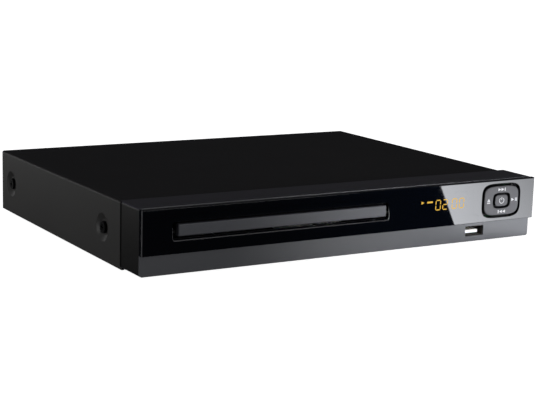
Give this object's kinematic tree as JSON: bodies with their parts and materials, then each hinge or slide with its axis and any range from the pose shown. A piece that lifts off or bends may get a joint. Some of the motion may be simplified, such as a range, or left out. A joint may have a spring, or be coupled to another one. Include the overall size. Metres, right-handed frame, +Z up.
{
  "type": "disc player",
  "caption": "Compact disc player with a motor-driven loading tray, tilting drive unit, four-way keypad and rear sockets.",
  "frame": {"origin": "middle of the footprint, on the plane of the feet", "axes": "+Z up, -Y out of the front panel, +X to the right as seen from the front"},
  "size_m": [0.2636, 0.2188, 0.0415],
  "materials": {
    "cover_paint": "fine satin",
    "zinc_steel": "plated sheet",
    "black_screws": "black plated",
    "rubber": "matt",
    "front_plastic": "satin",
    "gloss_panel": "polished",
    "smoked_window": "smoked, polished",
    "black_plastic": "fine grain",
    "black_gloss": "polished",
    "amber_light": "lit",
    "circuit_board": "solder mask",
    "brown_board": "phenolic paper",
    "bright_metal": "bright",
    "white_plastic": "natural",
    "cream_plastic": "natural",
    "heatsink_metal": "extruded",
    "dark_ferrite": "sintered",
    "blue_sleeve": "shrink sleeve",
    "yellow_plastic": "moulded",
    "wire_sleeve": "insulation",
    "jack_plastic": "moulded",
    "cable_film": "film",
    "motor_steel": "drawn can",
    "tray_plastic": "fine grain",
    "door_plastic": "satin",
    "drive_unit_metal": "grey",
    "pickup_metal": "die cast",
    "lens_glass": "coated",
    "key_plastic": "satin"
  },
  "bodies": {
    "root": {"base_chassis": "zinc_steel", "rear_panel": "zinc_steel", "top_cover": "cover_paint", "case_screws": "black_screws", "feet": "rubber", "front_fascia": "front_plastic", "gloss_panel": "gloss_panel", "display_window": "smoked_window", "display_module": "black_plastic", "display_digits": "amber_light", "front_board": "circuit_board", "tact_switches": "bright_metal", "ir_receiver": "black_plastic", "key_bezel": "black_gloss", "port_shell": "bright_metal", "port_tongue": "white_plastic", "port_board": "circuit_board", "main_board": "circuit_board", "board_chips": "black_plastic", "heatsink": "heatsink_metal", "power_board": "brown_board", "transformer": "dark_ferrite", "capacitors": "blue_sleeve", "line_filter": "yellow_plastic", "fuse": "bright_metal", "mains_inlet": "black_plastic", "inlet_wires": "wire_sleeve", "video_socket": "bright_metal", "av_socket": "black_plastic", "phono_jacks": "jack_plastic", "ribbon_cables": "cable_film", "loader_frame": "black_plastic", "clamp_bridge": "zinc_steel", "loading_motor": "motor_steel", "drive_belt": "rubber", "pivot_bushes": "rubber", "inner_screws": "bright_metal"},
    "tray": {"disc_tray": "tray_plastic", "tray_door": "door_plastic"},
    "drive_gear": {"drive_gear": "white_plastic"},
    "pulley_gear": {"pulley_gear": "white_plastic"},
    "motor_pulley": {"motor_pulley": "white_plastic"},
    "cam_slider": {"cam_slider": "white_plastic"},
    "drive_unit": {"traverse_frame": "drive_unit_metal", "spindle_motor": "motor_steel", "guide_rods": "bright_metal", "feed_motor": "motor_steel"},
    "turntable": {"turntable": "black_plastic"},
    "clamper": {"clamper": "cream_plastic", "clamp_magnet": "dark_ferrite"},
    "sled": {"pickup_body": "pickup_metal", "feed_rack": "cream_plastic"},
    "lens": {"lens_holder": "black_plastic", "lens": "lens_glass"},
    "feed_gear": {"feed_gear": "white_plastic"},
    "feed_pinion": {"feed_pinion": "white_plastic"},
    "power_key": {"power_button": "key_plastic"},
    "pad_frame": {"pad_frame": "black_plastic"},
    "key_pad": {"key_pad": "key_plastic"}
  },
  "joints": [
    {"name": "tray_slide", "type": "slide", "parent": "root", "child": "tray", "axis": [0, -1, 0], "range_m": [0, 0.128]},
    {"name": "drive_gear_spin", "type": "hinge", "parent": "root", "child": "drive_gear", "pos_m": [-0.005, -0.07745, 0.023], "axis": [0, 0, 1], "range_deg": [-815.5, 0]},
    {"name": "pulley_gear_spin", "type": "hinge", "parent": "root", "child": "pulley_gear", "pos_m": [-0.02554, -0.08413, 0.021], "axis": [0, 0, 1], "range_deg": [0, 2328.8]},
    {"name": "motor_pulley_spin", "type": "hinge", "parent": "root", "child": "motor_pulley", "pos_m": [-0.071, -0.08345, 0.02], "axis": [0, 0, 1], "range_deg": [0, 6403.2]},
    {"name": "unit_tilt", "type": "hinge", "parent": "root", "child": "drive_unit", "pos_m": [-0.044, 0.06255, 0.0205], "axis": [1, 0, 0], "range_deg": [0, 4.5]},
    {"name": "cam_slide", "type": "slide", "parent": "root", "child": "cam_slider", "axis": [1, 0, 0], "range_m": [0, 0.018]},
    {"name": "turntable_spin", "type": "hinge", "parent": "drive_unit", "child": "turntable", "pos_m": [-0.044, -0.03345, 0.0314], "axis": [0, 0, 1], "continuous": true},
    {"name": "clamper_spin", "type": "hinge", "parent": "root", "child": "clamper", "pos_m": [-0.044, -0.03345, 0.0344], "axis": [0, 0, 1], "continuous": true},
    {"name": "sled_slide", "type": "slide", "parent": "drive_unit", "child": "sled", "axis": [0, 1, 0], "range_m": [0, 0.034]},
    {"name": "feed_gear_spin", "type": "hinge", "parent": "drive_unit", "child": "feed_gear", "pos_m": [-0.0786, 0.01255, 0.021], "axis": [0, 0, 1], "range_deg": [0, 464.4]},
    {"name": "feed_pinion_spin", "type": "hinge", "parent": "drive_unit", "child": "feed_pinion", "pos_m": [-0.08405, 0.02324, 0.022], "axis": [0, 0, 1], "range_deg": [-1392.1, 0]},
    {"name": "lens_focus", "type": "slide", "parent": "sled", "child": "lens", "axis": [0, 0, 1], "range_m": [-0.0006, 0.0006], "stiffness_N_per_m": 40},
    {"name": "power_press", "type": "slide", "parent": "root", "child": "power_key", "axis": [0, 1, 0], "range_m": [0, 0.0005], "stiffness_N_per_m": 2000},
    {"name": "pad_rock_up_down", "type": "hinge", "parent": "root", "child": "pad_frame", "pos_m": [0.1063, -0.10205, 0.0288], "axis": [1, 0, 0], "range_deg": [-2, 2], "stiffness_Nm_per_rad": 0.3},
    {"name": "pad_rock_side", "type": "hinge", "parent": "pad_frame", "child": "key_pad", "pos_m": [0.1063, -0.10205, 0.0288], "axis": [0, 0, 1], "range_deg": [-2, 2], "stiffness_Nm_per_rad": 0.3}
  ],
  "couplings": [
    {"joint": "drive_gear_spin", "follows": "tray_slide", "rad_per_m": -111.11},
    {"joint": "pulley_gear_spin", "follows": "tray_slide", "rad_per_m": 317.46},
    {"joint": "motor_pulley_spin", "follows": "tray_slide", "rad_per_m": 873.02},
    {"joint": "cam_slide", "follows": "unit_tilt", "m_per_rad": 0.22918},
    {"joint": "clamper_spin", "follows": "turntable_spin", "ratio": 1},
    {"joint": "feed_gear_spin", "follows": "sled_slide", "rad_per_m": 238.1},
    {"joint": "feed_pinion_spin", "follows": "sled_slide", "rad_per_m": -714.29}
  ]
}
